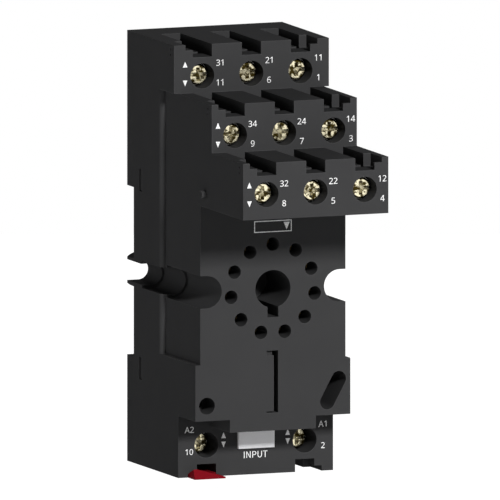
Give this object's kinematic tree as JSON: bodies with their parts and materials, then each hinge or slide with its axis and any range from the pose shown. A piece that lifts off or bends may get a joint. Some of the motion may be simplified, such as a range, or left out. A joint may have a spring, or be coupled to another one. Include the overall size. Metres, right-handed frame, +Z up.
{
  "type": "relay socket",
  "caption": "Stepped relay socket for a rail, with screw clamp terminals, a keyed pin circle and a sprung red rail clip.",
  "frame": {"origin": "middle of the rail seat at the back, on the axis of the relay's pin circle", "axes": "+X to the right seen from the front, +Y to the rail behind, +Z up"},
  "size_m": [0.035, 0.0643, 0.0915],
  "materials": {
    "black_plastic": "satin moulded",
    "red_plastic": "satin moulded",
    "grey_plastic": "matt",
    "spring_steel": "bright folded strip",
    "contact_brass": "tinned at the sleeve",
    "plated_steel": "zinc plated",
    "screw_brass": "yellow zinc plated"
  },
  "bodies": {
    "housing": {"housing": "black_plastic", "back_cover": "black_plastic", "marker_plate": "grey_plastic", "clip_spring": "spring_steel", "contact_1": "contact_brass", "contact_2": "contact_brass", "contact_3": "contact_brass", "contact_4": "contact_brass", "contact_5": "contact_brass", "contact_6": "contact_brass", "contact_7": "contact_brass", "contact_8": "contact_brass", "contact_9": "contact_brass", "contact_10": "contact_brass", "contact_11": "contact_brass"},
    "rail_clip": {"rail_clip": "red_plastic"},
    "clamp_1": {"clamp_1": "plated_steel"},
    "screw_1": {"screw_1": "screw_brass"},
    "clamp_2": {"clamp_2": "plated_steel"},
    "screw_2": {"screw_2": "screw_brass"},
    "clamp_3": {"clamp_3": "plated_steel"},
    "screw_3": {"screw_3": "screw_brass"},
    "clamp_4": {"clamp_4": "plated_steel"},
    "screw_4": {"screw_4": "screw_brass"},
    "clamp_5": {"clamp_5": "plated_steel"},
    "screw_5": {"screw_5": "screw_brass"},
    "clamp_6": {"clamp_6": "plated_steel"},
    "screw_6": {"screw_6": "screw_brass"},
    "clamp_7": {"clamp_7": "plated_steel"},
    "screw_7": {"screw_7": "screw_brass"},
    "clamp_8": {"clamp_8": "plated_steel"},
    "screw_8": {"screw_8": "screw_brass"},
    "clamp_9": {"clamp_9": "plated_steel"},
    "screw_9": {"screw_9": "screw_brass"},
    "clamp_10": {"clamp_10": "plated_steel"},
    "screw_10": {"screw_10": "screw_brass"},
    "clamp_11": {"clamp_11": "plated_steel"},
    "screw_11": {"screw_11": "screw_brass"}
  },
  "joints": [
    {"name": "rail_clip_slide", "type": "slide", "parent": "housing", "child": "rail_clip", "axis": [0, 0, -1], "range_m": [0, 0.003], "stiffness_N_per_m": 1500, "springref_m": -0.002, "deforming": ["clip_spring"]},
    {"name": "clamp_1_slide", "type": "slide", "parent": "housing", "child": "clamp_1", "axis": [0, 1, 0], "range_m": [0, 0.0023]},
    {"name": "screw_1_turn", "type": "hinge", "parent": "clamp_1", "child": "screw_1", "pos_m": [0.0111, -0.0208, 0.0442], "axis": [0, 1, 0], "range_deg": [0, 1656]},
    {"name": "clamp_2_slide", "type": "slide", "parent": "housing", "child": "clamp_2", "axis": [0, 1, 0], "range_m": [0, 0.0023]},
    {"name": "screw_2_turn", "type": "hinge", "parent": "clamp_2", "child": "screw_2", "pos_m": [0.0111, -0.021, -0.0339], "axis": [0, 1, 0], "range_deg": [0, 1656]},
    {"name": "clamp_3_slide", "type": "slide", "parent": "housing", "child": "clamp_3", "axis": [0, 1, 0], "range_m": [0, 0.0023]},
    {"name": "screw_3_turn", "type": "hinge", "parent": "clamp_3", "child": "screw_3", "pos_m": [0.0111, -0.0398, 0.03395], "axis": [0, 1, 0], "range_deg": [0, 1656]},
    {"name": "clamp_4_slide", "type": "slide", "parent": "housing", "child": "clamp_4", "axis": [0, 1, 0], "range_m": [0, 0.0023]},
    {"name": "screw_4_turn", "type": "hinge", "parent": "clamp_4", "child": "screw_4", "pos_m": [0.0111, -0.058, 0.0237], "axis": [0, 1, 0], "range_deg": [0, 1656]},
    {"name": "clamp_5_slide", "type": "slide", "parent": "housing", "child": "clamp_5", "axis": [0, 1, 0], "range_m": [0, 0.0023]},
    {"name": "screw_5_turn", "type": "hinge", "parent": "clamp_5", "child": "screw_5", "pos_m": [0, -0.058, 0.0237], "axis": [0, 1, 0], "range_deg": [0, 1656]},
    {"name": "clamp_6_slide", "type": "slide", "parent": "housing", "child": "clamp_6", "axis": [0, 1, 0], "range_m": [0, 0.0023]},
    {"name": "screw_6_turn", "type": "hinge", "parent": "clamp_6", "child": "screw_6", "pos_m": [0, -0.0208, 0.0442], "axis": [0, 1, 0], "range_deg": [0, 1656]},
    {"name": "clamp_7_slide", "type": "slide", "parent": "housing", "child": "clamp_7", "axis": [0, 1, 0], "range_m": [0, 0.0023]},
    {"name": "screw_7_turn", "type": "hinge", "parent": "clamp_7", "child": "screw_7", "pos_m": [0, -0.0398, 0.03395], "axis": [0, 1, 0], "range_deg": [0, 1656]},
    {"name": "clamp_8_slide", "type": "slide", "parent": "housing", "child": "clamp_8", "axis": [0, 1, 0], "range_m": [0, 0.0023]},
    {"name": "screw_8_turn", "type": "hinge", "parent": "clamp_8", "child": "screw_8", "pos_m": [-0.0111, -0.058, 0.0237], "axis": [0, 1, 0], "range_deg": [0, 1656]},
    {"name": "clamp_9_slide", "type": "slide", "parent": "housing", "child": "clamp_9", "axis": [0, 1, 0], "range_m": [0, 0.0023]},
    {"name": "screw_9_turn", "type": "hinge", "parent": "clamp_9", "child": "screw_9", "pos_m": [-0.0111, -0.0398, 0.03395], "axis": [0, 1, 0], "range_deg": [0, 1656]},
    {"name": "clamp_10_slide", "type": "slide", "parent": "housing", "child": "clamp_10", "axis": [0, 1, 0], "range_m": [0, 0.0023]},
    {"name": "screw_10_turn", "type": "hinge", "parent": "clamp_10", "child": "screw_10", "pos_m": [-0.0111, -0.021, -0.0339], "axis": [0, 1, 0], "range_deg": [0, 1656]},
    {"name": "clamp_11_slide", "type": "slide", "parent": "housing", "child": "clamp_11", "axis": [0, 1, 0], "range_m": [0, 0.0023]},
    {"name": "screw_11_turn", "type": "hinge", "parent": "clamp_11", "child": "screw_11", "pos_m": [-0.0111, -0.0208, 0.0442], "axis": [0, 1, 0], "range_deg": [0, 1656]}
  ],
  "couplings": [
    {"joint": "screw_1_turn", "follows": "clamp_1_slide", "rad_per_m": 12566},
    {"joint": "screw_2_turn", "follows": "clamp_2_slide", "rad_per_m": 12566},
    {"joint": "screw_3_turn", "follows": "clamp_3_slide", "rad_per_m": 12566},
    {"joint": "screw_4_turn", "follows": "clamp_4_slide", "rad_per_m": 12566},
    {"joint": "screw_5_turn", "follows": "clamp_5_slide", "rad_per_m": 12566},
    {"joint": "screw_6_turn", "follows": "clamp_6_slide", "rad_per_m": 12566},
    {"joint": "screw_7_turn", "follows": "clamp_7_slide", "rad_per_m": 12566},
    {"joint": "screw_8_turn", "follows": "clamp_8_slide", "rad_per_m": 12566},
    {"joint": "screw_9_turn", "follows": "clamp_9_slide", "rad_per_m": 12566},
    {"joint": "screw_10_turn", "follows": "clamp_10_slide", "rad_per_m": 12566},
    {"joint": "screw_11_turn", "follows": "clamp_11_slide", "rad_per_m": 12566}
  ]
}
